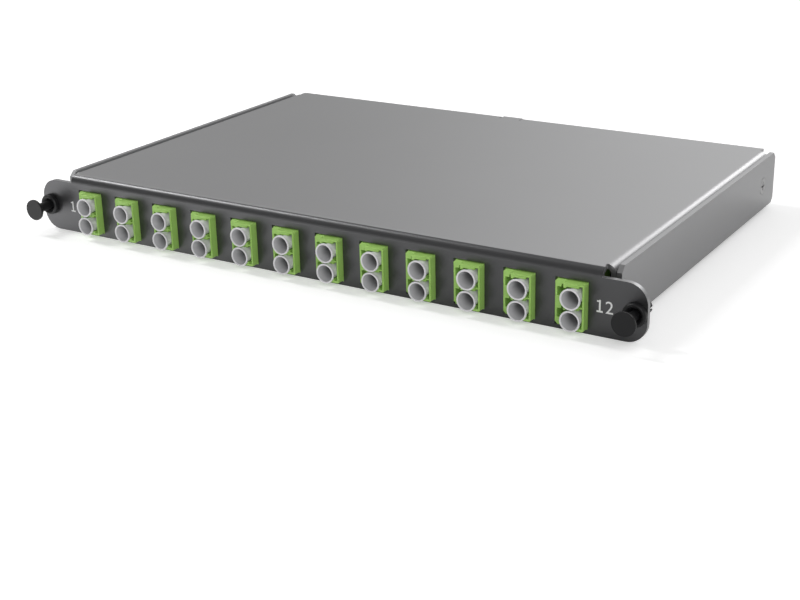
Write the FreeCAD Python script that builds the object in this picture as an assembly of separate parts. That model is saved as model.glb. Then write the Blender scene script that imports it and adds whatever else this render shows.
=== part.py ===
import FreeCAD, Part
import math
import os

# Fibre cassette: half-width rack cassette with twelve LC duplex adapters and two push-pull plungers.
# Millimetres. X runs across the front, Y from the panel's back face to the rear, Z up.
# The origin lies on the panel's back face, midway between the two plunger axes.

V = FreeCAD.Vector

# Sheet steel of the cover and the tray
SHEET = 1.5
BEND_INNER = 1.2
BEND_OUTER = BEND_INNER + SHEET
FOLD_GAP = 0.3              # between the cover's flanges and the tray's walls
TRAY_CORNER = 0.4           # coined outer corner along the tray's lower edges

# Front panel with its ears
EAR_WIDTH = 9.1             # ear past the tray's wall
EAR_TOP = 8.5
PANEL_BOTTOM = -8.4
EAR_CORNER = 6.0

# Housing
SIDE_MARGIN = 4.48          # tray past the outermost adapter's share of the front
COVER_TOP = 11.0
WALL_TOP = 10.93
TRAY_BOTTOM = -6.7
WALL_FRONT = 2.2
WALL_REAR = 130.7
WALL_CHAMFER = 1.8
COVER_REAR = 131.9
RELIEF_BACK = 2.6           # where the cover's side bends start behind the corner reliefs
BEND_OVERHANG = 0.4         # the front bend runs this far past the side bends' start
FLANGE_REAR_SETBACK = 2.0   # cover flange ends this far ahead of the rear wall
LUG_X = 83.2                # lugs of the rear wall, behind the cover's rear edge
LUG_HALF = 9.0
LUG_THICKNESS = 0.5
LUG_DROP = 0.6              # below the cover's top
LUG_FOOT = 4.0
FINGER_BEND = 1 - math.tan(math.pi / 8)     # share of a bend's radius cut off by one flat across it
PRY_TAB_HALF = 3.85
PRY_TAB_MIDDLE = -0.85
PRY_TAB_REACH = 1.0
SLIT_WIDTH = 0.4
SLIT_LENGTH = 2.2

# Plungers and their grommets
PLUNGER_INSET = 3.35        # plunger axis from the ear's outer end
STEM_RADIUS = 1.5
STEM_CLEARANCE = 0.08
HEAD_RADIUS = 3.45
HEAD_THICKNESS = 0.8
HEAD_STANDOFF = 8.4         # pulled-out head in front of the panel's front face
HEAD_CONE_RADIUS = 2.5
HEAD_CONE_LENGTH = 1.1
STEM_LENGTH = 11.2          # from the head's back to the tip
COLLAR_RADIUS = 3.4
COLLAR_THICKNESS = 1.9
COLLAR_CHAMFER = 0.4
BARREL_RADIUS = 2.1
BARREL_LENGTH = 5.0         # behind the ear
WAIST_DEPTH = 0.2           # where the prongs bend, behind the ear
WAIST_LENGTH = 0.8
PRONG_SLOT = 0.7
EAR_HOLE_CLEARANCE = 0.1

# Adapters and their ports
ADAPTER_COUNT = 12
ADAPTER_PITCH = 15.72
ADAPTER_LEFT = 5.21         # from the pitch position to the adapter's left side
ADAPTER_RIGHT = 4.42
ADAPTER_TOP = 6.2
ADAPTER_BOTTOM = -7.1
ADAPTER_PROUD = 0.15        # latch side in front of the panel
ADAPTER_REAR = 12.9
ADAPTER_CORNER = 0.8
BLOCK_LEFT = 1.72           # from the pitch position to the raised block's left side
BLOCK_RAISE = 2.6           # raised block in front of the panel
BLOCK_CORNER = 0.35
STOP_WIDTH = 1.3            # stop flange past each side of the adapter
STOP_THICKNESS = 0.8
STOP_TOP = 1.6
STOP_BOTTOM = 1.05
PANEL_SIDE_CLEARANCE = 0.1
PANEL_TOP_CLEARANCE = 0.33
PANEL_BOTTOM_CLEARANCE = 0.1
PORT_PITCH = 6.25
PORT_OFFSET = 1.556         # port axis right of the pitch position
PORT_MIDDLE = -0.35         # height midway between the two port axes
PORT_RIGHT = 2.30
PORT_RIGHT_POCKET = 1.0
PORT_POCKET_HALF = 2.92
PORT_LEFT = 2.52
PORT_HALF = 2.33
THROAT_HALF = 1.9
THROAT_LEFT = 4.94
LATCH_LEFT = 6.2
LATCH_HALF = 1.28
LATCH_DROP = 0.2
MIDWALL_FRONT = 5.3
MIDWALL_THICKNESS = 0.8
HOLDER_RADIUS = 1.5         # over the corners of the sleeve holder
HOLDER_SIDES = 8
HOLDER_LENGTH = 11.2
FERRULE_RADIUS = 0.63       # clear radius of the bore for two ferrules

# Dust caps
CAP_STANDOFF = 5.5          # rim in front of the panel's front face
CAP_RIM_RADIUS = 3.1
CAP_RIM_THICKNESS = 0.7
CAP_RIM_WALL = 0.5
CAP_SIDES = 12
CAP_PLUG_RADIUS = 2.25
CAP_FUNNEL_DEPTH = 2.4
CAP_BORE_RADIUS = 1.75
CAP_WEB = 0.7
CAP_GAP = 0.3               # between the closed end and the sleeve holder

# Tray fingers that hold the adapters' stop flanges against the panel
FINGER_GAP = 0.4            # to the adapter's sides
FINGER_SEAT = 0.1           # behind the stop flange
FINGER_TOP = 2.5
FLOOR_SETBACK = 0.5         # floor's front edge behind the adapters

# Side screws and clinch nuts
SCREW_Y = 119.4
SCREW_Z = 1.8
SCREW_RADIUS = 1.45
SCREW_HEAD_RADIUS = 2.8
SCREW_LENGTH = 6.5
SCREW_HOLE_CLEARANCE = 0.1
RECESS_SPAN = 3.0
RECESS_WIDTH = 0.65
RECESS_DEPTH = 0.8
NUT_ACROSS = 5.5            # over the flats
NUT_THICKNESS = 1.9

# Rear couplers for the multi-fibre trunk plugs
COUPLER_X = 52.0
COUPLER_Z = 1.6
COUPLER_WIDTH = 12.6
COUPLER_HEIGHT = 8.4
COUPLER_INSIDE = 13.0       # ahead of the rear wall
COUPLER_OUTSIDE = 6.5       # behind the rear wall
COUPLER_FLANGE = 2.4
COUPLER_FLANGE_THICKNESS = 1.2
COUPLER_WALL = 1.2
COUPLER_CLEARANCE = 0.1
COUPLER_CAP_PLATE = 1.0
COUPLER_CAP_DEPTH = 4.0
COUPLER_CAP_WALL = 0.9

# Spare fibre spools and the fan-out comb
SPOOL_X = 44.0
SPOOL_Y = 74.0
SPOOL_RADIUS = 20.0
SPOOL_WALL = 1.4
SPOOL_HEIGHT = 11.5
SPOOL_TAB_REACH = 6.0
SPOOL_TAB_WIDTH = 7.0
SPOOL_TABS = 4
SPOOL_BASE = 1.2
SPOOL_PIN_RADIUS = 1.6
COMB_Y = 22.0
COMB_DEPTH = 5.0
COMB_BASE = 1.4
COMB_TOOTH_WIDTH = 5.6
COMB_HEIGHT = 7.5

# Places that follow from the sizes above
PANEL_FRONT = -SHEET
HOUSING_HALF = ADAPTER_COUNT * ADAPTER_PITCH / 2 + SIDE_MARGIN
EAR_REACH = HOUSING_HALF + EAR_WIDTH
WALL_INNER = HOUSING_HALF - SHEET
FLANGE_OUTER = WALL_INNER - FOLD_GAP
FLANGE_INNER = FLANGE_OUTER - SHEET
SIDE_BEND_START = FLANGE_OUTER - BEND_OUTER
FRONT_BEND_END = SIDE_BEND_START + BEND_OVERHANG
BEND_HEIGHT = COVER_TOP - BEND_OUTER
COVER_UNDER = COVER_TOP - SHEET
FLOOR_TOP = TRAY_BOTTOM + SHEET
REAR_WALL_INNER = COVER_REAR - SHEET
PLUNGER_X = EAR_REACH - PLUNGER_INSET
ADAPTER_FRONT = PANEL_FRONT - ADAPTER_PROUD
BLOCK_FRONT = PANEL_FRONT - BLOCK_RAISE
FLOOR_FRONT = ADAPTER_REAR + FLOOR_SETBACK
PITCH_CENTRES = [(i - (ADAPTER_COUNT - 1) / 2) * ADAPTER_PITCH for i in range(ADAPTER_COUNT)]
PORT_HEIGHTS = {"upper": PORT_MIDDLE + PORT_PITCH / 2, "lower": PORT_MIDDLE - PORT_PITCH / 2}
HOLDER_FRONT = MIDWALL_FRONT + (MIDWALL_THICKNESS - HOLDER_LENGTH) / 2
HOLDER_REAR = HOLDER_FRONT + HOLDER_LENGTH
SIDES = {"left": -1, "right": 1}


def box(low, high):
    """Block between two opposite corners."""
    return Part.makeBox(high[0] - low[0], high[1] - low[1], high[2] - low[2], V(*low))


def across(points, x_low, x_high):
    """Extrude a closed outline of (y, z) points and arcs from x_low to x_high."""
    return outline(points, lambda y, z: V(x_low, y, z)).extrude(V(x_high - x_low, 0, 0))


def along(points, y_low, y_high):
    """Extrude a closed outline of (x, z) points and arcs from y_low to y_high."""
    return outline(points, lambda x, z: V(x, y_low, z)).extrude(V(0, y_high - y_low, 0))


def outline(points, place):
    """Face inside a closed outline: a point is (a, b), and an arc to a point is (a, b, mid_a, mid_b)."""
    edges = []
    last = place(*points[0][:2])
    for point in points[1:] + points[:1]:
        here = place(*point[:2])
        if len(point) == 4:
            edges.append(Part.Arc(last, place(*point[2:]), here).toShape())
        elif (here - last).Length > 1e-6:
            edges.append(Part.makeLine(last, here))
        last = here
    return Part.Face(Part.Wire(edges))


def arc_to(centre, radius, degrees_mid, degrees_end):
    """Outline entry for an arc that ends at one angle and passes another on the way."""
    end, mid = math.radians(degrees_end), math.radians(degrees_mid)
    return (centre[0] + radius * math.cos(end), centre[1] + radius * math.sin(end),
            centre[0] + radius * math.cos(mid), centre[1] + radius * math.sin(mid))


def turned(points, x, z):
    """Solid of revolution about the Y direction through (x, z), from (radius, y) points."""
    wire = Part.makePolygon([V(r, y, 0) for r, y in points] + [V(points[0][0], points[0][1], 0)])
    solid = Part.Face(wire).revolve(V(0, 0, 0), V(0, 1, 0), 360)
    solid.translate(V(x, 0, z))
    return solid


def faceted(points, sides, x, z):
    """Solid of flat faces about the Y direction through (x, z), from (corner radius, y) points."""
    turns = [math.tau * (i + 0.5) / sides for i in range(sides)]
    rings = [[V(x + r * math.cos(t), y, z + r * math.sin(t)) for t in turns] for r, y in points]
    faces = [Part.Face(Part.makePolygon(ring + ring[:1])) for ring in (rings[0], rings[-1])]
    for near, far in zip(rings, rings[1:]):
        for i in range(sides):
            corners = [near[i - 1], near[i], far[i], far[i - 1], near[i - 1]]
            faces.append(Part.Face(Part.makePolygon(corners)))
    shell = Part.makeShell(faces)
    shell.sewShape()
    return Part.makeSolid(shell).removeSplitter()


def rod(radius, y_low, y_high, x, z):
    """Cylinder along Y."""
    return Part.makeCylinder(radius, y_high - y_low, V(x, y_low, z), V(0, 1, 0))


def mirrored(shape):
    """The same shape on the other side of the middle plane."""
    return shape.mirror(V(0, 0, 0), V(1, 0, 0))


def panel():
    """Middle of the front panel; its top edge is where the front bend begins."""
    corners = [(-HOUSING_HALF, PANEL_BOTTOM), (HOUSING_HALF, PANEL_BOTTOM), (HOUSING_HALF, EAR_TOP),
               (FRONT_BEND_END, EAR_TOP), (FRONT_BEND_END, BEND_HEIGHT),
               (-FRONT_BEND_END, BEND_HEIGHT), (-FRONT_BEND_END, EAR_TOP), (-HOUSING_HALF, EAR_TOP)]
    return along(corners, PANEL_FRONT, 0)


def ear():
    """Right-hand ear with rounded corners, from the tray's wall outwards."""
    r = EAR_CORNER
    x, low, high = EAR_REACH - r, PANEL_BOTTOM + r, EAR_TOP - r
    corners = [(HOUSING_HALF, PANEL_BOTTOM), (x, PANEL_BOTTOM), arc_to((x, low), r, -45, 0),
               (EAR_REACH, high), arc_to((x, high), r, 45, 90), (HOUSING_HALF, EAR_TOP)]
    return along(corners, PANEL_FRONT, 0)


def front_bend():
    """Quarter-round fold from the panel into the top."""
    centre = (PANEL_FRONT + BEND_OUTER, BEND_HEIGHT)
    section = [(PANEL_FRONT, BEND_HEIGHT), arc_to(centre, BEND_OUTER, 135, 90),
               (centre[0], COVER_UNDER), arc_to(centre, BEND_INNER, 135, 180)]
    return across(section, -FRONT_BEND_END, FRONT_BEND_END)


def cover_top():
    """Flat top from the front bend to the rear edge."""
    return box((-SIDE_BEND_START, PANEL_FRONT + BEND_OUTER, COVER_UNDER),
               (SIDE_BEND_START, COVER_REAR, COVER_TOP))


def cover_flange():
    """Right-hand side bend and flange, behind the corner relief."""
    centre = (SIDE_BEND_START, BEND_HEIGHT)
    section = [(SIDE_BEND_START, COVER_TOP), arc_to(centre, BEND_OUTER, 45, 0),
               (FLANGE_OUTER, FLOOR_TOP + FOLD_GAP), (FLANGE_INNER, FLOOR_TOP + FOLD_GAP),
               (FLANGE_INNER, BEND_HEIGHT), arc_to(centre, BEND_INNER, 45, 90)]
    return along(section, RELIEF_BACK, REAR_WALL_INNER - FLANGE_REAR_SETBACK)


def pry_tab():
    """Short tab in the middle of the rear edge that lifts the cover."""
    low, high = PRY_TAB_MIDDLE - PRY_TAB_HALF, PRY_TAB_MIDDLE + PRY_TAB_HALF
    tab = box((low, COVER_REAR, COVER_UNDER), (high, COVER_REAR + PRY_TAB_REACH, COVER_TOP))
    slits = [box((x - SLIT_WIDTH / 2, COVER_REAR - SLIT_LENGTH, COVER_UNDER),
                 (x + SLIT_WIDTH / 2, COVER_REAR + PRY_TAB_REACH, COVER_TOP))
             for x in (low - SLIT_WIDTH / 2, high + SLIT_WIDTH / 2)]
    return tab, slits


def adapter_opening(x):
    """Cut-out in the panel for one adapter."""
    return box((x - ADAPTER_LEFT - PANEL_SIDE_CLEARANCE, PANEL_FRONT, ADAPTER_BOTTOM - PANEL_BOTTOM_CLEARANCE),
               (x + ADAPTER_RIGHT + PANEL_SIDE_CLEARANCE, 0, ADAPTER_TOP + PANEL_TOP_CLEARANCE))


def side_hole(side, radius, x_low, x_high):
    """Cylinder across a side wall at the screw's place."""
    start = V(side * x_low, SCREW_Y, SCREW_Z)
    return Part.makeCylinder(radius, x_high - x_low, start, V(side, 0, 0))


def cover():
    """Folded cover: top, front panel with ears, and a flange down each side.

    The ears keep faces of their own, because only they seat on the rack's frame.
    """
    flange = cover_flange()
    tab, slits = pry_tab()
    shape = panel().fuse([front_bend(), cover_top(), flange, mirrored(flange), tab]).removeSplitter()
    shape = shape.fuse([ear(), mirrored(ear())])
    tools = [adapter_opening(x) for x in PITCH_CENTRES] + slits
    for side in SIDES.values():
        tools.append(rod(BARREL_RADIUS + EAR_HOLE_CLEARANCE, PANEL_FRONT, 0, side * PLUNGER_X, 0))
        tools.append(side_hole(side, SCREW_RADIUS + SCREW_HOLE_CLEARANCE, FLANGE_INNER, FLANGE_OUTER))
    return shape.cut(tools)


def tray_wall():
    """Right-hand wall, cut back at its free corners."""
    c = WALL_CHAMFER
    section = [(WALL_FRONT, TRAY_BOTTOM), (WALL_REAR - c, TRAY_BOTTOM), (WALL_REAR, TRAY_BOTTOM + c),
               (WALL_REAR, WALL_TOP - c), (WALL_REAR - c, WALL_TOP), (WALL_FRONT + c, WALL_TOP),
               (WALL_FRONT, WALL_TOP - c)]
    wall = across(section, WALL_INNER, HOUSING_HALF)
    lower = [e for e in wall.Edges if e.BoundBox.XMin > HOUSING_HALF - 0.01
             and e.BoundBox.ZMax < TRAY_BOTTOM + 0.01]
    return wall.makeFillet(TRAY_CORNER, lower)


def tray_finger(x):
    """Floor finger between two adapters, turned up behind their stop flanges."""
    half = (ADAPTER_PITCH - ADAPTER_LEFT - ADAPTER_RIGHT) / 2 - FINGER_GAP
    middle = x + (ADAPTER_RIGHT + ADAPTER_PITCH - ADAPTER_LEFT) / 2
    face = STOP_THICKNESS + FINGER_SEAT
    back = face + SHEET
    outer, inner = BEND_OUTER * FINGER_BEND, BEND_INNER * FINGER_BEND
    section = [(face, FINGER_TOP), (face, TRAY_BOTTOM + outer), (face + outer, TRAY_BOTTOM),
               (FLOOR_FRONT, TRAY_BOTTOM), (FLOOR_FRONT, FLOOR_TOP), (back + inner, FLOOR_TOP),
               (back, FLOOR_TOP + inner), (back, FINGER_TOP)]
    return across(section, middle - half, middle + half)


def coupler_hole(side):
    """Cut-out in the rear wall for one multi-fibre coupler."""
    half_width = COUPLER_WIDTH / 2 + COUPLER_CLEARANCE
    half_height = COUPLER_HEIGHT / 2 + COUPLER_CLEARANCE
    x = side * COUPLER_X
    return box((x - half_width, REAR_WALL_INNER, COUPLER_Z - half_height),
               (x + half_width, COVER_REAR, COUPLER_Z + half_height))


def rear_lug():
    """Right-hand lug of the rear wall that stops the cover's rear edge."""
    return box((LUG_X - LUG_HALF, COVER_REAR, LUG_FOOT),
               (LUG_X + LUG_HALF, COVER_REAR + LUG_THICKNESS, COVER_TOP - LUG_DROP))


def base_tray():
    """Folded tray: floor with fingers at its front, side walls and rear wall."""
    strip = PITCH_CENTRES[-1] + ADAPTER_RIGHT + STOP_WIDTH + FINGER_GAP
    floor = box((-WALL_INNER, FLOOR_FRONT, TRAY_BOTTOM), (WALL_INNER, WALL_REAR - WALL_CHAMFER, FLOOR_TOP))
    rear = box((-WALL_INNER, REAR_WALL_INNER, TRAY_BOTTOM), (WALL_INNER, COVER_REAR, COVER_UNDER - FOLD_GAP))
    sill = box((-WALL_INNER, WALL_REAR - WALL_CHAMFER, TRAY_BOTTOM), (WALL_INNER, COVER_REAR, FLOOR_TOP))
    rail = box((strip, WALL_FRONT, TRAY_BOTTOM), (WALL_INNER, FLOOR_FRONT, FLOOR_TOP))
    wall = tray_wall()
    lug = rear_lug()
    fingers = [tray_finger(x) for x in PITCH_CENTRES[:-1]]
    pairs = [rail, mirrored(rail), wall, mirrored(wall), lug, mirrored(lug)]
    shape = floor.fuse([rear, sill] + pairs + fingers).removeSplitter()
    tools = [coupler_hole(side) for side in SIDES.values()]
    for side in SIDES.values():
        tools.append(side_hole(side, SCREW_RADIUS + SCREW_HOLE_CLEARANCE, WALL_INNER, HOUSING_HALF))
        tools.append(screw_cone(side, SCREW_HOLE_CLEARANCE))
        tools.append(spool_pin(side, SCREW_HOLE_CLEARANCE))
    return shape.cut(tools)


def screw_cone(side, clearance):
    """Countersunk head of a side screw, grown by a clearance."""
    depth = SCREW_HEAD_RADIUS - SCREW_RADIUS
    cone = Part.makeCone(SCREW_RADIUS + clearance, SCREW_HEAD_RADIUS + clearance, depth,
                         V(HOUSING_HALF - depth, SCREW_Y, SCREW_Z), V(1, 0, 0))
    return cone if side > 0 else mirrored(cone)


def side_screw(side):
    """Countersunk screw with a cross recess."""
    shank = side_hole(side, SCREW_RADIUS, HOUSING_HALF - SCREW_LENGTH, HOUSING_HALF)
    screw = screw_cone(side, 0).fuse(shank).removeSplitter()
    face = sorted((side * (HOUSING_HALF - RECESS_DEPTH), side * HOUSING_HALF))
    long, short = RECESS_SPAN / 2, RECESS_WIDTH / 2
    slots = [box((face[0], SCREW_Y - a, SCREW_Z - b), (face[1], SCREW_Y + a, SCREW_Z + b))
             for a, b in ((long, short), (short, long))]
    return screw.cut(slots)


def hexagon(across_flats, side, x_low, x_high):
    """Hexagonal bar across a side wall at the screw's place."""
    reach = across_flats / math.sqrt(3)
    turns = [math.tau * i / 6 for i in range(7)]
    rim = [V(side * x_low, SCREW_Y + reach * math.cos(t), SCREW_Z + reach * math.sin(t)) for t in turns]
    return Part.Face(Part.makePolygon(rim)).extrude(V(side * (x_high - x_low), 0, 0))


def clinch_nut(side):
    """Hexagonal nut pressed onto the cover's flange."""
    body = hexagon(NUT_ACROSS, side, FLANGE_INNER - NUT_THICKNESS, FLANGE_INNER)
    return body.cut(hexagon(2 * SCREW_RADIUS, side, FLANGE_INNER - NUT_THICKNESS, FLANGE_INNER))


def port_outline(x, z):
    """Port and latch slot in (x, z): wide pocket, plug bore, throat and latch slot."""
    upper = [(x + PORT_RIGHT, z + PORT_POCKET_HALF), (x + PORT_RIGHT - PORT_RIGHT_POCKET, z + PORT_POCKET_HALF),
             (x + PORT_RIGHT - PORT_RIGHT_POCKET, z + PORT_HALF), (x - PORT_LEFT, z + PORT_HALF),
             (x - PORT_LEFT, z + THROAT_HALF), (x - THROAT_LEFT, z + THROAT_HALF),
             (x - THROAT_LEFT, z + LATCH_HALF - LATCH_DROP), (x - LATCH_LEFT, z + LATCH_HALF - LATCH_DROP)]
    lower = [(x - LATCH_LEFT, z - LATCH_HALF - LATCH_DROP), (x - THROAT_LEFT, z - LATCH_HALF - LATCH_DROP),
             (x - THROAT_LEFT, z - THROAT_HALF), (x - PORT_LEFT, z - THROAT_HALF),
             (x - PORT_LEFT, z - PORT_HALF), (x + PORT_RIGHT - PORT_RIGHT_POCKET, z - PORT_HALF),
             (x + PORT_RIGHT - PORT_RIGHT_POCKET, z - PORT_POCKET_HALF), (x + PORT_RIGHT, z - PORT_POCKET_HALF)]
    return upper + lower


def adapter(x):
    """Duplex adapter: body with a stop flange, raised block, two through ports with sleeve holders."""
    left, right, c, b = x - ADAPTER_LEFT, x + ADAPTER_RIGHT, ADAPTER_CORNER, BLOCK_CORNER
    body_outline = [(left + c, ADAPTER_BOTTOM), (right, ADAPTER_BOTTOM), (right, ADAPTER_TOP),
                    (left + c, ADAPTER_TOP), (left, ADAPTER_TOP - c), (left, ADAPTER_BOTTOM + c)]
    block_outline = [(x - BLOCK_LEFT, ADAPTER_BOTTOM), (right - b, ADAPTER_BOTTOM), (right, ADAPTER_BOTTOM + b),
                     (right, ADAPTER_TOP - b), (right - b, ADAPTER_TOP), (x - BLOCK_LEFT, ADAPTER_TOP)]
    body = along(body_outline, ADAPTER_FRONT, ADAPTER_REAR)
    block = along(block_outline, BLOCK_FRONT, ADAPTER_FRONT)
    stop = box((left - STOP_WIDTH, 0, ADAPTER_BOTTOM - STOP_BOTTOM),
               (right + STOP_WIDTH, STOP_THICKNESS, ADAPTER_TOP + STOP_TOP))
    shape = body.fuse([block, stop]).removeSplitter()
    midwall_rear = MIDWALL_FRONT + MIDWALL_THICKNESS
    port_x = x + PORT_OFFSET
    bore = FERRULE_RADIUS / math.cos(math.pi / HOLDER_SIDES)
    cuts, holders, bores = [], [], []
    for z in PORT_HEIGHTS.values():
        cuts.append(along(port_outline(port_x, z), BLOCK_FRONT, MIDWALL_FRONT))
        cuts.append(box((port_x - THROAT_LEFT, midwall_rear, z - PORT_HALF),
                        (port_x + PORT_RIGHT, ADAPTER_REAR, z + PORT_HALF)))
        holders.append(faceted([(HOLDER_RADIUS, HOLDER_FRONT), (HOLDER_RADIUS, HOLDER_REAR)],
                               HOLDER_SIDES, port_x, z))
        bores.append(faceted([(bore, HOLDER_FRONT), (bore, HOLDER_REAR)], HOLDER_SIDES, port_x, z))
    return shape.cut(cuts).fuse(holders).cut(bores)


def dust_cap(x, z):
    """Hollow cap: rim with a funnel mouth, tapered neck and closed plug."""
    rim = PANEL_FRONT - CAP_STANDOFF
    end = HOLDER_FRONT - CAP_GAP
    profile = [(CAP_BORE_RADIUS, end - CAP_WEB), (CAP_BORE_RADIUS, rim + CAP_FUNNEL_DEPTH),
               (CAP_RIM_RADIUS - CAP_RIM_WALL, rim), (CAP_RIM_RADIUS, rim),
               (CAP_RIM_RADIUS, rim + CAP_RIM_THICKNESS), (CAP_PLUG_RADIUS, BLOCK_FRONT), (CAP_PLUG_RADIUS, end)]
    return faceted(profile, CAP_SIDES, x, z)


def grommet(side):
    """Split grommet: collar in front of the ear and four prongs behind it."""
    collar_front = PANEL_FRONT - COLLAR_THICKNESS
    bore = STEM_RADIUS + STEM_CLEARANCE
    mouth = HEAD_CONE_RADIUS + STEM_CLEARANCE
    waist = BARREL_RADIUS - WAIST_DEPTH
    profile = [(mouth, collar_front), (COLLAR_RADIUS - COLLAR_CHAMFER, collar_front),
               (COLLAR_RADIUS, collar_front + COLLAR_CHAMFER), (COLLAR_RADIUS, PANEL_FRONT),
               (BARREL_RADIUS, PANEL_FRONT), (BARREL_RADIUS, 0), (waist, 0), (waist, WAIST_LENGTH),
               (BARREL_RADIUS, WAIST_LENGTH), (BARREL_RADIUS, BARREL_LENGTH), (bore, BARREL_LENGTH),
               (bore, collar_front + HEAD_CONE_LENGTH)]
    shape = turned(profile, side * PLUNGER_X, 0)
    x, reach, half = side * PLUNGER_X, BARREL_RADIUS + PRONG_SLOT, PRONG_SLOT / 2
    slots = [box((x - reach, 0, -half), (x + reach, BARREL_LENGTH, half)),
             box((x - half, 0, -reach), (x + half, BARREL_LENGTH, reach))]
    return shape.cut(slots)


def plunger(side):
    """Push-pull plunger, pulled out: flat head, cone and stem."""
    head_front = PANEL_FRONT - HEAD_STANDOFF
    head_back = head_front + HEAD_THICKNESS
    tip = head_back + STEM_LENGTH
    profile = [(0, head_front), (HEAD_RADIUS, head_front), (HEAD_RADIUS, head_back),
               (HEAD_CONE_RADIUS, head_back), (STEM_RADIUS, head_back + HEAD_CONE_LENGTH),
               (STEM_RADIUS, tip), (0, tip)]
    return turned(profile, side * PLUNGER_X, 0)


def coupler_section(grow, y_low, y_high, side):
    """Block of the coupler's section, grown or shrunk all round."""
    x = side * COUPLER_X
    half_width, half_height = COUPLER_WIDTH / 2 + grow, COUPLER_HEIGHT / 2 + grow
    return box((x - half_width, y_low, COUPLER_Z - half_height), (x + half_width, y_high, COUPLER_Z + half_height))


def rear_coupler(side):
    """Multi-fibre coupler: through sleeve with a flange behind the rear wall."""
    front, rear = REAR_WALL_INNER - COUPLER_INSIDE, COVER_REAR + COUPLER_OUTSIDE
    body = coupler_section(0, front, rear, side)
    x, half = side * COUPLER_X, COUPLER_WIDTH / 2 + COUPLER_FLANGE
    flange = box((x - half, COVER_REAR, COUPLER_Z - COUPLER_HEIGHT / 2),
                 (x + half, COVER_REAR + COUPLER_FLANGE_THICKNESS, COUPLER_Z + COUPLER_HEIGHT / 2))
    return body.fuse(flange).removeSplitter().cut(coupler_section(-COUPLER_WALL, front, rear, side))


def rear_cap(side):
    """Hollow dust cap in a rear coupler."""
    rear = COVER_REAR + COUPLER_OUTSIDE
    plate = coupler_section(0, rear, rear + COUPLER_CAP_PLATE, side)
    plug_grow = -COUPLER_WALL - COUPLER_CLEARANCE
    plug = coupler_section(plug_grow, rear - COUPLER_CAP_DEPTH, rear, side)
    hollow = coupler_section(plug_grow - COUPLER_CAP_WALL, rear - COUPLER_CAP_DEPTH, rear, side)
    return plate.fuse(plug).removeSplitter().cut(hollow)


def spool_pin(side, clearance):
    """Rivet pin under a spool, through the floor."""
    place = V(side * SPOOL_X, SPOOL_Y, TRAY_BOTTOM)
    return Part.makeCylinder(SPOOL_PIN_RADIUS + clearance, SHEET, place)


def fibre_spool(side):
    """Spool for spare fibre: base, round wall and a ring of retaining tabs."""
    x, base = side * SPOOL_X, FLOOR_TOP
    ring = Part.makeCylinder(SPOOL_RADIUS, SPOOL_HEIGHT, V(x, SPOOL_Y, base))
    hollow = Part.makeCylinder(SPOOL_RADIUS - SPOOL_WALL, SPOOL_HEIGHT - SPOOL_BASE, V(x, SPOOL_Y, base + SPOOL_BASE))
    shape = ring.cut(hollow)
    for i in range(SPOOL_TABS):
        tab = box((SPOOL_RADIUS - SPOOL_WALL / 2, -SPOOL_TAB_WIDTH / 2, base + SPOOL_HEIGHT - SPOOL_WALL),
                  (SPOOL_RADIUS + SPOOL_TAB_REACH, SPOOL_TAB_WIDTH / 2, base + SPOOL_HEIGHT))
        tab.rotate(V(0, 0, 0), V(0, 0, 1), i * 360 / SPOOL_TABS)
        tab.translate(V(x, SPOOL_Y, 0))
        shape = shape.fuse(tab)
    return shape.fuse(spool_pin(side, 0)).removeSplitter()


def fibre_comb():
    """Comb behind the adapters: one gap behind each of them for its fan-out legs."""
    end = PITCH_CENTRES[-1] + ADAPTER_PITCH / 2 - COMB_TOOTH_WIDTH / 2
    bar = box((-end, COMB_Y, FLOOR_TOP), (end, COMB_Y + COMB_DEPTH, FLOOR_TOP + COMB_BASE))
    teeth = []
    for x in PITCH_CENTRES[:-1]:
        middle, half = x + ADAPTER_PITCH / 2, COMB_TOOTH_WIDTH / 2
        teeth.append(box((middle - half, COMB_Y, FLOOR_TOP),
                         (middle + half, COMB_Y + COMB_DEPTH, FLOOR_TOP + COMB_HEIGHT)))
    return bar.fuse(teeth).removeSplitter()


def build():
    """Every node by name."""
    nodes = {"cover": cover(), "base_tray": base_tray(), "fibre_comb": fibre_comb()}
    for i, x in enumerate(PITCH_CENTRES, 1):
        nodes[f"adapter_{i:02d}"] = adapter(x)
        for level, z in PORT_HEIGHTS.items():
            nodes[f"dust_cap_{i:02d}_{level}"] = dust_cap(x + PORT_OFFSET, z)
    nodes["side_screws"] = Part.makeCompound([side_screw(side) for side in SIDES.values()])
    nodes["clinch_nuts"] = Part.makeCompound([clinch_nut(side) for side in SIDES.values()])
    for name, side in SIDES.items():
        nodes[f"grommet_{name}"] = grommet(side)
        nodes[f"plunger_{name}"] = plunger(side)
        nodes[f"rear_coupler_{name}"] = rear_coupler(side)
        nodes[f"rear_cap_{name}"] = rear_cap(side)
        nodes[f"fibre_spool_{name}"] = fibre_spool(side)
    return nodes


os.makedirs("parts", exist_ok=True)
for node, shape in build().items():
    shape.exportStep(f"parts/{node}.step")
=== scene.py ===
import math

import bpy
from mathutils import Matrix, Vector


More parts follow.
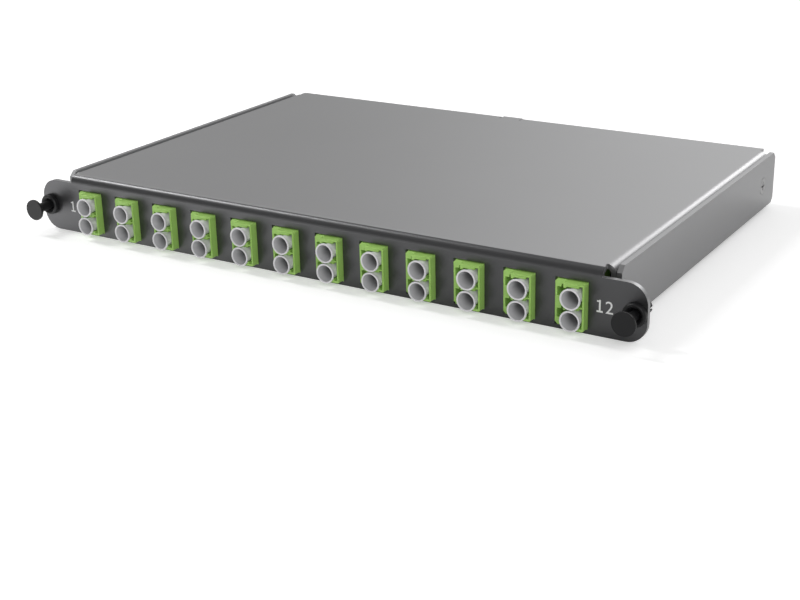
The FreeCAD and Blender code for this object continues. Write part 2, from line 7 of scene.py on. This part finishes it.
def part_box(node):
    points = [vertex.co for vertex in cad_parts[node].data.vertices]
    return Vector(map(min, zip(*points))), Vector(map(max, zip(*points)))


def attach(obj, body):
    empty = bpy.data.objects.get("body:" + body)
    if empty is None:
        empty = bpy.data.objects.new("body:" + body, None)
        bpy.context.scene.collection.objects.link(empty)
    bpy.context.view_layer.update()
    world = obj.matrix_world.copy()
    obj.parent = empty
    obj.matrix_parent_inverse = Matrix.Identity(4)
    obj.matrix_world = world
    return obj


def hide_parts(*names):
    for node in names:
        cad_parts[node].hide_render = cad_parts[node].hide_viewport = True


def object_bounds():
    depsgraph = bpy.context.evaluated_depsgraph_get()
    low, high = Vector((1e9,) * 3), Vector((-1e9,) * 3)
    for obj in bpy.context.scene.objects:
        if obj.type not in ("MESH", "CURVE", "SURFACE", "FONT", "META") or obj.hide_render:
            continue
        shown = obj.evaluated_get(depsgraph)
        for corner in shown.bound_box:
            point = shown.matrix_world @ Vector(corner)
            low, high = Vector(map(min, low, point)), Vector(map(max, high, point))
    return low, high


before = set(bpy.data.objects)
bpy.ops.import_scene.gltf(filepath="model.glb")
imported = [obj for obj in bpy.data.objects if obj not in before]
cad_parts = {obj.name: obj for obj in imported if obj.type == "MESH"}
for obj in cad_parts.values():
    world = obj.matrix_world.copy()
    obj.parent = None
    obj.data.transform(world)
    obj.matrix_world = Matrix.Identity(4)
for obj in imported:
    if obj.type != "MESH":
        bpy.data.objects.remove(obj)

CAD_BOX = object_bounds()

bl_info = {
    "name": "Fibre cassette",
    "version": (1, 0, 0),
    "blender": (4, 5, 0),
    "location": "View3D > Sidebar > Cassette",
    "description": "Dresses a rack fibre cassette: coated steel, adapters, dust caps and plungers",
    "category": "Object",
}

MM = 0.001
HOUSING = "housing"
SIDES = ("left", "right")
ADAPTERS = sorted(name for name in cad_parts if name.startswith("adapter_"))
CAPS = sorted(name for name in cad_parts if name.startswith("dust_cap_"))
FRONT_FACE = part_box("cover")[0].y       # front of the panel
CAP_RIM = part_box(CAPS[0])[0].y          # front of a dust cap's rim

# Modelling
MERGE_DISTANCE = 0.001 * MM
FLAT_ANGLE = math.radians(0.2)          # faces that turn less than this are one flat
SHARP_ANGLE = math.radians(30.0)        # edges that turn more than this are broken
EDGE_SEGMENTS = 2
CAP_SHARP_ANGLE = math.radians(32.0)
CAP_SIDES = 56

# Port numbers, beside the outermost adapters
FIRST_NUMBER_GAP = 2.90 * MM            # from the number's left end to the first adapter
LAST_NUMBER_GAP = 1.25 * MM             # from the last adapter to the number's left end
NUMBER_FOOT = -1.45 * MM                # height of the numbers' feet
DIGIT_PITCH = 5.2                       # from one figure to the next, in strokes
FIGURE_SHARE = 0.7                      # height of a figure as a share of its font's size

# Finishes
GRAIN_SCALE = 900.0                     # cells per metre of the coarsest grain
NOISE_ROUGHNESS = 0.55
PAINTED_SHADE_DEPTH = 2.75 * MM                  # the painted shade on faces turned to the front ends this far behind the front face
PAINTED_SHADE_FACING = -0.3                      # it lies on faces whose normal's Y is under this, so faces turned to the front are painted darker
CAP_MOUTH = (0.05 * MM, 0.3 * MM)       # behind the rim, where a cap's inside begins
CAP_PAINTED_SHADE_DEPTH = (0.5 * MM, 4.5 * MM)        # behind the rim, where the painted shade in the funnel begins and is whole
CAP_PAINTED_SHADE = 0.35                          # share of the inside's colour left at the funnel's end, where the painted shade is deepest
FUNNEL_FACING = (-0.8, -0.02)           # the funnel's normals have a Y between these
FLOOR_GLOW = 0.4                        # added where the floor is seen, so that it is white
FLOOR_SHEEN = 1.3                       # glow the floor gives to glossy rays at its left, 1 is white: a painted reflection
SHEEN_FALL = 1.21                       # how much of that is gone at its right
SHEEN_SPAN = (-0.17, 0.06)              # the fall's ends along X, in metres

# Surround: where each part begins and is whole, along one axis of the direction
SKY_PARTS = (("X", -0.58, -0.28), ("X", 0.3, 0.62), ("Y", 0.1, 0.5), ("Z", 0.25, 0.5))
SKY_LEFT = 0.37
SKY_RIGHT_FALL = 0.17
SKY_REAR_GAIN = 0.03
SKY_BACKDROP_GAIN = 0.69                # rear and right
SKY_SIDE_FALL = 0.62                    # rear and far right
SKY_HIGH_GAIN = 0.3                     # rear and high

# Soft lamps: name, place, size and power
LAMPS = (("left_strip", (-0.88, 0.035, 0.88), (0.16, 0.46), 6.0),
         ("rear_lamp", (0.16, 1.24, 0.46), (0.42, 0.36), 1.5),
         ("fill_lamp", (0.65, -0.95, 0.6), (0.6, 0.6), 5.6))

SENSOR_WIDTH = 36.0                     # millimetres, as the lens
CLIP_START = 0.01


class CassetteSizes(bpy.types.PropertyGroup):
    """Sizes that can be changed without touching the solid model"""
    edge_steel: bpy.props.FloatProperty(
        name="Steel edge", description="Width of the broken edges of the sheet steel",
        default=0.12 * MM, unit="LENGTH", precision=5)
    edge_plastic: bpy.props.FloatProperty(
        name="Moulded edge", description="Width of the rounded edges of the moulded parts",
        default=0.1 * MM, unit="LENGTH", precision=5)
    digit_height: bpy.props.FloatProperty(
        name="Digit height", description="Height of the port numbers on the panel",
        default=3.55 * MM, unit="LENGTH", precision=5)
    stroke: bpy.props.FloatProperty(
        name="Stroke", description="Width of a printed stroke",
        default=0.49 * MM, unit="LENGTH", precision=5)
    digit_depth: bpy.props.FloatProperty(
        name="Ink depth", description="Thickness of the printed numbers",
        default=0.04 * MM, unit="LENGTH", precision=6)
    camera_place: bpy.props.FloatVectorProperty(
        name="Camera", description="Camera position", size=3, unit="LENGTH",
        default=(235.613 * MM, -327.393 * MM, 139.994 * MM))
    view_azimuth: bpy.props.FloatProperty(
        name="Azimuth", description="Turn of the view to the right of the front",
        default=math.radians(32.024), unit="ROTATION")
    view_elevation: bpy.props.FloatProperty(
        name="Elevation", description="How far the camera looks down",
        default=math.radians(21.249), unit="ROTATION")
    view_roll: bpy.props.FloatProperty(
        name="Roll", description="Turn of the camera about its own axis",
        default=math.radians(1.359), unit="ROTATION")
    lens: bpy.props.FloatProperty(
        name="Lens", description="Focal length", default=64.052, unit="CAMERA")
    floor_reach: bpy.props.FloatProperty(
        name="Floor", description="Half the width of the floor", default=6.0, unit="LENGTH")


def colour(name, description, value):
    """A colour property with its default."""
    return bpy.props.FloatVectorProperty(name=name, description=description, default=value,
                                         size=3, subtype="COLOR", min=0.0, max=1.0)


class CassetteColours(bpy.types.PropertyGroup):
    """Colours of the finishes"""
    steel: colour("Steel", "Satin grey of the folded steel", (0.34, 0.34, 0.345))
    # painted shade: this dark colour stands in for the dark surround that the front faces reflect
    panel: colour("Panel", "Dark coat of the front panel", (0.095, 0.095, 0.098))
    lime: colour("Lime", "Adapter plastic", (0.40, 0.68, 0.16))
    cap: colour("Cap", "Dust cap plastic", (0.78, 0.77, 0.79))
    # painted shade: the funnel's inside is painted darker than the cap's plastic
    cap_inside_painted_shade: colour("Cap inside", "Inside of a dust cap's funnel", (0.60, 0.60, 0.61))
    black: colour("Black", "Plungers and grommets", (0.01, 0.01, 0.011))
    organiser: colour("Organiser", "Spools, comb and couplers", (0.03, 0.03, 0.032))
    ink: colour("Ink", "Port numbers", (0.85, 0.85, 0.85))
    zinc: colour("Zinc", "Screws and nuts", (0.36, 0.36, 0.36))
    floor: colour("Floor", "Pale floor", (0.86, 0.86, 0.86))


# Shader tools

class Wire:
    """A shader socket that takes Python's operators"""

    def __init__(self, finish_nodes, socket):
        self.finish_nodes = finish_nodes
        self.socket = socket

    def maths(self, operation, left, right):
        """Add one Math node."""
        return self.finish_nodes.node("ShaderNodeMath", {"operation": operation}, {0: left, 1: right})

    def __add__(self, other):
        return self.maths("ADD", self, other)

    def __radd__(self, other):
        return self.maths("ADD", other, self)

    def __sub__(self, other):
        return self.maths("SUBTRACT", self, other)

    def __rsub__(self, other):
        return self.maths("SUBTRACT", other, self)

    def __mul__(self, other):
        return self.maths("MULTIPLY", self, other)

    def __rmul__(self, other):
        return self.maths("MULTIPLY", other, self)

    def __gt__(self, other):
        return self.maths("GREATER_THAN", self, other)

    def __lt__(self, other):
        return self.maths("LESS_THAN", self, other)


class Finish:
    """Node tree of one finish"""

    def __init__(self, tree):
        self.tree = tree
        tree.nodes.clear()

    def node(self, kind, settings=None, inputs=None, output=0):
        """Add a node with its settings and its sockets' values or links, and give one output."""
        made = self.tree.nodes.new(kind)
        for name, value in (settings or {}).items():
            setattr(made, name, value)
        for name, value in (inputs or {}).items():
            if isinstance(value, Wire):
                self.tree.links.new(value.socket, made.inputs[name])
            else:
                made.inputs[name].default_value = value
        return Wire(self, made.outputs[output]) if len(made.outputs) else None

    def place(self):
        """Position on the piece, in metres."""
        return self.node("ShaderNodeTexCoord", output="Object")

    def axis(self, name):
        """One component of the position."""
        return self.node("ShaderNodeSeparateXYZ", {}, {0: self.place()}, name)

    def facing(self, name):
        """One component of the true normal."""
        normal = self.node("ShaderNodeNewGeometry", output="Normal")
        return self.node("ShaderNodeSeparateXYZ", {}, {0: normal}, name)

    def noise(self, scale, detail=3.0):
        """Uneven mask from 0 to 1, in cells per metre."""
        return self.node("ShaderNodeTexNoise", {}, {"Vector": self.place(), "Scale": scale,
                                                    "Detail": detail, "Roughness": NOISE_ROUGHNESS})

    def blend(self, mask, low, high):
        """Colour between two colours by a mask."""
        return self.node("ShaderNodeMix", {"data_type": "RGBA"}, {0: mask, 6: low, 7: high}, 2)

    def mottle(self, mask, rgb, spread):
        """One colour, a little darker and lighter by a mask."""
        return self.blend(mask, opaque(rgb, 1 - spread), opaque(rgb, 1 + spread))

    def ramp(self, value, low, high):
        """Smooth step from 0 to 1 between two values."""
        return self.node("ShaderNodeMapRange", {"interpolation_type": "SMOOTHSTEP"},
                         {"Value": value, "From Min": low, "From Max": high})

    def bump(self, height, strength, distance):
        """Normal that follows a height."""
        return self.node("ShaderNodeBump", {}, {"Height": height, "Strength": strength,
                                                "Distance": distance})

    def surface(self, **inputs):
        """Principled surface, with underscores for the spaces of its socket names."""
        sockets = {name.replace("_", " "): value for name, value in inputs.items()}
        shader = self.node("ShaderNodeBsdfPrincipled", {}, sockets)
        self.node("ShaderNodeOutputMaterial", {}, {"Surface": shader})


def finish(name):
    """New material and its tools."""
    material = bpy.data.materials.new(name)
    material.use_nodes = True
    return material, Finish(material.node_tree)


def opaque(rgb, gain=1.0):
    """Colour with its alpha, times a gain."""
    return tuple(channel * gain for channel in rgb) + (1.0,)


def steel_with_painted_shade(colours):
    """Satin steel. The panel's front face and the bend above it are painted darker: painted shade
    that stands in for the dark surround they reflect.
    """
    material, f = finish("steel_with_painted_shade")
    # painted shade: faces near the front face that turn towards the front get the dark colour
    front = (f.axis("Y") < FRONT_FACE + PAINTED_SHADE_DEPTH) * (f.facing("Y") < PAINTED_SHADE_FACING)
    grain = f.noise(GRAIN_SCALE * 2.2)
    cloud = f.noise(18.0, 2.0)
    steel = f.mottle(cloud, colours.steel, 0.03)
    front_painted_shade = f.mottle(cloud, colours.panel, 0.05)
    f.surface(Base_Color=f.blend(front, steel, front_painted_shade), Metallic=0.85,
              Roughness=0.3 + grain * 0.06 + front * 0.02,
              Normal=f.bump(grain, 0.06, 0.02 * MM))
    return material


def moulded(name, rgb, roughness, grain_strength, **extra):
    """Matte moulded plastic with a fine spark-eroded grain."""
    material, f = finish(name)
    grain = f.noise(GRAIN_SCALE * 3.0, 4.0)
    cloud = f.noise(60.0, 2.0)
    f.surface(Base_Color=f.mottle(cloud, rgb, 0.05),
              Roughness=roughness + grain * 0.1,
              Normal=f.bump(grain, grain_strength, 0.03 * MM), **extra)
    return material


def cap_plastic(colours):
    """Milky dust cap plastic, with painted shade inside its funnel that darkens with depth."""
    material, f = finish("cap_plastic")
    grain = f.noise(GRAIN_SCALE * 2.0)
    past_rim, painted_shade_depth = (f.ramp(f.axis("Y"), CAP_RIM + low, CAP_RIM + high)
                      for low, high in (CAP_MOUTH, CAP_PAINTED_SHADE_DEPTH))
    steep, shallow = FUNNEL_FACING
    # painted shade: faces in the funnel, which turn towards the front, get the darker colour
    inside = (f.facing("Y") < shallow) * (f.facing("Y") > steep) * past_rim
    milky = f.mottle(grain, colours.cap, 0.04)
    # painted shade: the funnel darkens further with depth behind the rim
    dim = f.blend(painted_shade_depth, opaque(colours.cap_inside_painted_shade), opaque(colours.cap_inside_painted_shade, CAP_PAINTED_SHADE))
    f.surface(Base_Color=f.blend(inside, milky, dim),
              Roughness=0.32 + grain * 0.08, Normal=f.bump(grain, 0.05, 0.02 * MM))
    return material


def zinc_plate(colours):
    """Bright zinc with fine turning marks."""
    material, f = finish("zinc_plate")
    marks = f.noise(GRAIN_SCALE * 4.0, 5.0)
    f.surface(Base_Color=f.mottle(marks, colours.zinc, 0.1),
              Metallic=1.0, Roughness=0.26 + marks * 0.14, Normal=f.bump(marks, 0.08, 0.02 * MM))
    return material


def printed_ink(colours):
    """Slightly uneven printed ink."""
    material, f = finish("printed_ink")
    grain = f.noise(GRAIN_SCALE * 3.0)
    f.surface(Base_Color=f.blend(grain, opaque(colours.ink, 0.92), opaque(colours.ink, 1.05)),
              Roughness=0.55 + grain * 0.1)
    return material


def pale_floor(colours):
    """Pale floor, white where nothing shades it, that keeps the object's shadow. In glossy rays it
    glows, more at its left, as a painted reflection.
    """
    material, f = finish("pale_floor")
    seen, glossy, clear = (f.node("ShaderNodeLightPath", output=f"Is {kind} Ray")
                           for kind in ("Camera", "Glossy", "Transmission"))
    # painted reflection: the floor glows for glossy rays, brighter to its left, so the panel reflects
    # more light there
    sheen = FLOOR_SHEEN - f.ramp(f.axis("X"), *SHEEN_SPAN) * SHEEN_FALL
    cloud = f.noise(3.0, 2.0)
    matt = f.node("ShaderNodeBsdfDiffuse", {}, {"Color": f.mottle(cloud, colours.floor, 0.005)})
    level = ((seen + clear) * FLOOR_GLOW + glossy * sheen) * (1 / FLOOR_SHEEN)
    glow = f.node("ShaderNodeEmission", {}, {"Color": f.blend(level, opaque((0.0, 0.0, 0.0)),
                                                              opaque((FLOOR_SHEEN,) * 3))})
    both = f.node("ShaderNodeAddShader", {}, {0: matt, 1: glow})
    f.node("ShaderNodeOutputMaterial", {}, {"Surface": both})
    return material


FINISHES = {}


def find_finishes(context):
    """All finishes by name, made once."""
    if not FINISHES:
        c = context.scene.cassette_colours
        FINISHES["steel"] = steel_with_painted_shade(c)
        FINISHES["lime"] = moulded("lime_plastic", c.lime, 0.36, 0.08)
        FINISHES["cap"] = cap_plastic(c)
        FINISHES["black"] = moulded("black_plastic", c.black, 0.4, 0.06, Specular_IOR_Level=0.28)
        FINISHES["organiser"] = moulded("organiser_plastic", c.organiser, 0.42, 0.12)
        FINISHES["zinc"] = zinc_plate(c)
        FINISHES["ink"] = printed_ink(c)
        FINISHES["floor"] = pale_floor(c)
    return FINISHES


# Modelling tools

def only(piece):
    """Select one object and make it active."""
    bpy.ops.object.select_all(action="DESELECT")
    piece.select_set(True)
    bpy.context.view_layer.objects.active = piece


def settle(piece, body, slot, material, *nodes):
    """Give a finished piece its material, its body and the nodes it stands for."""
    piece.data.materials.clear()
    piece.data.materials.append(material)
    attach(piece, body)
    if nodes:
        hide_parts(*nodes)


def dress(node, body, slot, material, edge):
    """A node's shape as one closed mesh with broken edges and even shading."""
    piece = bpy.data.objects.new(f"{node}_dressed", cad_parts[node].data.copy())
    bpy.context.scene.collection.objects.link(piece)
    only(piece)
    bpy.ops.object.mode_set(mode="EDIT")
    bpy.ops.mesh.select_all(action="SELECT")
    bpy.ops.mesh.remove_doubles(threshold=MERGE_DISTANCE)
    bpy.ops.mesh.dissolve_limited(angle_limit=FLAT_ANGLE)
    bpy.ops.object.mode_set(mode="OBJECT")
    bevel = piece.modifiers.new("broken_edges", "BEVEL")
    bevel.limit_method = "ANGLE"
    bevel.angle_limit = SHARP_ANGLE
    bevel.width = edge
    bevel.segments = EDGE_SEGMENTS
    bevel.harden_normals = True
    bevel.use_clamp_overlap = True
    bpy.ops.object.modifier_apply(modifier=bevel.name)
    bpy.ops.object.shade_smooth_by_angle(angle=SHARP_ANGLE)
    level = piece.modifiers.new("level_faces", "WEIGHTED_NORMAL")
    level.keep_sharp = True
    level.weight = 100
    bpy.ops.object.modifier_apply(modifier=level.name)
    settle(piece, body, slot, material, node)


def repaint(node, material):
    """Give a node that keeps its shape its finish."""
    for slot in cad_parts[node].material_slots:
        slot.material = material


class CASSETTE_OT_case(bpy.types.Operator):
    """Dress the folded cover and the tray"""
    bl_idname = "cassette.case"
    bl_label = "Case"

    def execute(self, context):
        sizes = context.scene.cassette_sizes
        steel = find_finishes(context)["steel"]
        dress("cover", HOUSING, "cover_steel", steel, sizes.edge_steel)
        dress("base_tray", HOUSING, "tray_steel", steel, sizes.edge_steel)
        return {"FINISHED"}


class CASSETTE_OT_adapters(bpy.types.Operator):
    """Dress the duplex adapters"""
    bl_idname = "cassette.adapters"
    bl_label = "Adapters"

    def execute(self, context):
        edge = context.scene.cassette_sizes.edge_plastic
        for node in ADAPTERS:
            dress(node, HOUSING, "adapter_lime", find_finishes(context)["lime"], edge)
        return {"FINISHED"}


def turned(name, profile, sides):
    """Round piece about the Z direction, drawn ring by ring from (radius, height) points."""
    bpy.ops.object.select_all(action="DESELECT")
    bpy.ops.mesh.primitive_circle_add(vertices=sides, radius=profile[0][0], fill_type="NGON",
                                      location=(0.0, 0.0, profile[0][1]))
    piece = bpy.context.object
    piece.name = name
    bpy.ops.object.transform_apply(location=True)
    bpy.ops.object.mode_set(mode="EDIT")
    bpy.ops.mesh.select_all(action="SELECT")
    for (r0, h0), (r1, h1) in zip(profile, profile[1:]):
        bpy.ops.mesh.extrude_region_move(TRANSFORM_OT_translate={"value": (0.0, 0.0, h1 - h0)})
        bpy.ops.transform.resize(value=(r1 / r0, r1 / r0, 1.0), center_override=(0.0, 0.0, h1))
    bpy.ops.mesh.select_all(action="SELECT")
    bpy.ops.mesh.normals_make_consistent(inside=False)
    bpy.ops.object.mode_set(mode="OBJECT")
    return piece


def cap_profile():
    """Rings of a dust cap, as radius and depth behind its rim in millimetres."""
    funnel = ((1.10, 6.05), (1.25, 5.80), (1.62, 4.20), (1.95, 2.80), (2.25, 1.50), (2.45, 0.50),
              (2.50, 0.12), (2.56, 0.03), (2.64, 0.00))
    rim = ((2.88, 0.00), (2.97, 0.04), (3.01, 0.14), (3.01, 0.50), (2.96, 0.64), (2.84, 0.70))
    neck = ((2.52, 0.74), (2.44, 0.84), (2.36, 1.60))
    plug = ((2.25, 2.92), (2.25, 6.60), (2.10, 6.78))
    return [(radius * MM, -depth * MM) for radius, depth in funnel + rim + neck + plug]


class CASSETTE_OT_dust_caps(bpy.types.Operator):
    """Model one dust cap and put a copy in each port"""
    bl_idname = "cassette.dust_caps"
    bl_label = "Dust caps"

    def execute(self, context):
        pattern = turned("dust_cap_pattern", cap_profile(), CAP_SIDES)
        bpy.ops.object.shade_smooth_by_angle(angle=CAP_SHARP_ANGLE)
        for node in CAPS:
            low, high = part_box(node)
            place = Vector(((low.x + high.x) / 2, low.y, (low.z + high.z) / 2))
            cap = bpy.data.objects.new(f"{node}_dressed", pattern.data.copy())
            context.scene.collection.objects.link(cap)
            cap.data.transform(Matrix.Translation(place) @ Matrix.Rotation(math.pi / 2, 4, "X"))
            settle(cap, HOUSING, "cap_clear", find_finishes(context)["cap"], node)
        bpy.data.objects.remove(pattern)
        return {"FINISHED"}


class CASSETTE_OT_plungers(bpy.types.Operator):
    """Dress the plungers and their grommets"""
    bl_idname = "cassette.plungers"
    bl_label = "Plungers"

    def execute(self, context):
        edge = context.scene.cassette_sizes.edge_plastic
        black = find_finishes(context)["black"]
        for side in SIDES:
            dress(f"plunger_{side}", f"plunger_{side}", "plunger_black", black, edge)
            dress(f"grommet_{side}", HOUSING, "grommet_black", black, edge)
        return {"FINISHED"}


class CASSETTE_OT_rear(bpy.types.Operator):
    """Dress the rear couplers, their caps and the side screws"""
    bl_idname = "cassette.rear"
    bl_label = "Rear and fasteners"

    def execute(self, context):
        edge = context.scene.cassette_sizes.edge_plastic
        finishes = find_finishes(context)
        for side in SIDES:
            dress(f"rear_coupler_{side}", HOUSING, "coupler_black", finishes["organiser"], edge)
            dress(f"rear_cap_{side}", HOUSING, "rear_cap_clear", finishes["cap"], edge)
        dress("side_screws", HOUSING, "fastener_steel", finishes["zinc"], edge / 2)
        return {"FINISHED"}


class CASSETTE_OT_inside(bpy.types.Operator):
    """Paint the pieces inside the case"""
    bl_idname = "cassette.inside"
    bl_label = "Inside"

    def execute(self, context):
        finishes = find_finishes(context)
        for side in SIDES:
            repaint(f"fibre_spool_{side}", finishes["organiser"])
        repaint("fibre_comb", finishes["organiser"])
        repaint("clinch_nuts", finishes["zinc"])
        return {"FINISHED"}


def stroke_box(low, high):
    """Flat printed stroke between two corners in the panel's plane, as an object."""
    bpy.ops.object.select_all(action="DESELECT")
    bpy.ops.mesh.primitive_cube_add(size=1.0)
    stroke = bpy.context.object
    middle = [(a + b) / 2 for a, b in zip(low, high)]
    stroke.data.transform(Matrix.Translation((*middle, 0.0))
                          @ Matrix.Diagonal((high[0] - low[0], high[1] - low[1], 1.0, 1.0)))
    return stroke


def digit_one(left, height, stroke):
    """Figure one with a flag at its head and a bar at its foot."""
    foot = stroke_box((left, 0.0), (left + 3.6 * stroke, stroke))
    stem = stroke_box((left + 1.3 * stroke, stroke), (left + 2.3 * stroke, height))
    flag = stroke_box((left + 0.1 * stroke, height - 1.35 * stroke),
                      (left + 1.3 * stroke, height - 0.45 * stroke))
    return [foot, stem, flag]


def digit_two(left, height):
    """Figure two, as thick as a stroke's box."""
    bpy.ops.object.select_all(action="DESELECT")
    bpy.ops.object.text_add()
    figure = bpy.context.object
    figure.data.body = "2"
    figure.data.size = height / FIGURE_SHARE
    figure.data.extrude = 0.5
    bpy.ops.object.convert(target="MESH")
    corner = min(v.co.x for v in figure.data.vertices)
    figure.data.transform(Matrix.Translation((left - corner, 0.0, 0.0)))
    return figure


class CASSETTE_OT_numbers(bpy.types.Operator):
    """Print the first and last port numbers on the panel"""
    bl_idname = "cassette.numbers"
    bl_label = "Port numbers"

    def execute(self, context):
        sizes = context.scene.cassette_sizes
        height, stroke = sizes.digit_height, sizes.stroke
        first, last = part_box(ADAPTERS[0]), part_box(ADAPTERS[-1])
        lines = (("number_first", first[0].x - FIRST_NUMBER_GAP, False),
                 ("number_last", last[1].x + LAST_NUMBER_GAP, True))
        for name, left, has_two in lines:
            strokes = digit_one(left, height, stroke)
            if has_two:
                strokes.append(digit_two(left + DIGIT_PITCH * stroke, height))
            bpy.ops.object.select_all(action="DESELECT")
            for piece in strokes:
                piece.select_set(True)
            context.view_layer.objects.active = strokes[0]
            bpy.ops.object.join()
            label = context.object
            label.name = name
            face = FRONT_FACE - sizes.digit_depth / 2
            label.data.transform(Matrix.Translation((0.0, face, NUMBER_FOOT))
                                 @ Matrix.Rotation(math.pi / 2, 4, "X")
                                 @ Matrix.Diagonal((1.0, 1.0, sizes.digit_depth, 1.0)))
            settle(label, HOUSING, "cover_steel", find_finishes(context)["ink"])
        return {"FINISHED"}


def lamp(name, place, aim, size, power):
    """Soft rectangular lamp that points at a place."""
    data = bpy.data.lights.new(name, "AREA")
    data.shape = "RECTANGLE"
    data.size, data.size_y = size
    data.energy = power
    lamp_object = bpy.data.objects.new(name, data)
    bpy.context.scene.collection.objects.link(lamp_object)
    lamp_object.location = place
    lamp_object.rotation_euler = (Vector(aim) - Vector(place)).to_track_quat("-Z", "Y").to_euler()


def studio_sky(world):
    """Soft studio surround: a bright backdrop to the right rear, dim overhead and at the front."""
    world.use_nodes = True
    sky = Finish(world.node_tree)
    way = sky.node("ShaderNodeTexCoord", output="Generated")
    right, side, rear, high = (
        sky.ramp(sky.node("ShaderNodeSeparateXYZ", {}, {0: way}, axis), begin, whole)
        for axis, begin, whole in SKY_PARTS)
    glow = SKY_LEFT - right * SKY_RIGHT_FALL + rear * (
        SKY_REAR_GAIN + right * SKY_BACKDROP_GAIN - side * SKY_SIDE_FALL + high * SKY_HIGH_GAIN)
    back = sky.node("ShaderNodeBackground", {}, {"Color": (1.0, 1.0, 1.0, 1.0), "Strength": glow})
    sky.node("ShaderNodeOutputWorld", {}, {"Surface": back})


class CASSETTE_OT_stage(bpy.types.Operator):
    """Add the floor, the lights and the camera"""
    bl_idname = "cassette.stage"
    bl_label = "Stage"

    def execute(self, context):
        scene = context.scene
        sizes = scene.cassette_sizes
        low, high = CAD_BOX
        bpy.ops.object.select_all(action="DESELECT")
        bpy.ops.mesh.primitive_plane_add(size=2 * sizes.floor_reach, location=(0.0, 0.0, low[2]))
        floor = context.object
        floor.name = "floor"
        floor.data.materials.append(find_finishes(context)["floor"])
        middle = (Vector(low) + Vector(high)) / 2
        for name, place, size, power in LAMPS:
            lamp(name, place, middle, size, power)
        world = bpy.data.worlds.new("studio")
        scene.world = world
        studio_sky(world)
        az, el = sizes.view_azimuth, sizes.view_elevation
        turn = (Matrix.Rotation(az, 4, "Z") @ Matrix.Rotation(math.pi / 2 - el, 4, "X")
                @ Matrix.Rotation(-sizes.view_roll, 4, "Z"))
        data = bpy.data.cameras.new("camera")
        data.lens = sizes.lens
        data.sensor_width = SENSOR_WIDTH
        data.clip_start = CLIP_START
        camera = bpy.data.objects.new("camera", data)
        scene.collection.objects.link(camera)
        camera.matrix_world = Matrix.Translation(sizes.camera_place) @ turn
        scene.camera = camera
        scene.view_settings.view_transform = "Standard"
        return {"FINISHED"}


OPERATORS = (CASSETTE_OT_case, CASSETTE_OT_adapters, CASSETTE_OT_dust_caps, CASSETTE_OT_plungers,
             CASSETTE_OT_rear, CASSETTE_OT_inside, CASSETTE_OT_numbers, CASSETTE_OT_stage)


class CASSETTE_PT_panel(bpy.types.Panel):
    """Buttons for the cassette's pieces"""
    bl_label = "Fibre cassette"
    bl_idname = "CASSETTE_PT_panel"
    bl_space_type = "VIEW_3D"
    bl_region_type = "UI"
    bl_category = "Cassette"

    def draw(self, context):
        for operator in OPERATORS:
            self.layout.operator(operator.bl_idname)
        for group in (context.scene.cassette_sizes, context.scene.cassette_colours):
            for name in group.__annotations__:
                self.layout.prop(group, name)


CLASSES = (CassetteSizes, CassetteColours) + OPERATORS + (CASSETTE_PT_panel,)


def register():
    for cls in CLASSES:
        bpy.utils.register_class(cls)
    bpy.types.Scene.cassette_sizes = bpy.props.PointerProperty(type=CassetteSizes)
    bpy.types.Scene.cassette_colours = bpy.props.PointerProperty(type=CassetteColours)


def unregister():
    del bpy.types.Scene.cassette_colours
    del bpy.types.Scene.cassette_sizes
    for cls in reversed(CLASSES):
        bpy.utils.unregister_class(cls)


def main():
    register()
    for operator in OPERATORS:
        group, name = operator.bl_idname.split(".")
        getattr(getattr(bpy.ops, group), name)()


if __name__ == "__main__":
    main()
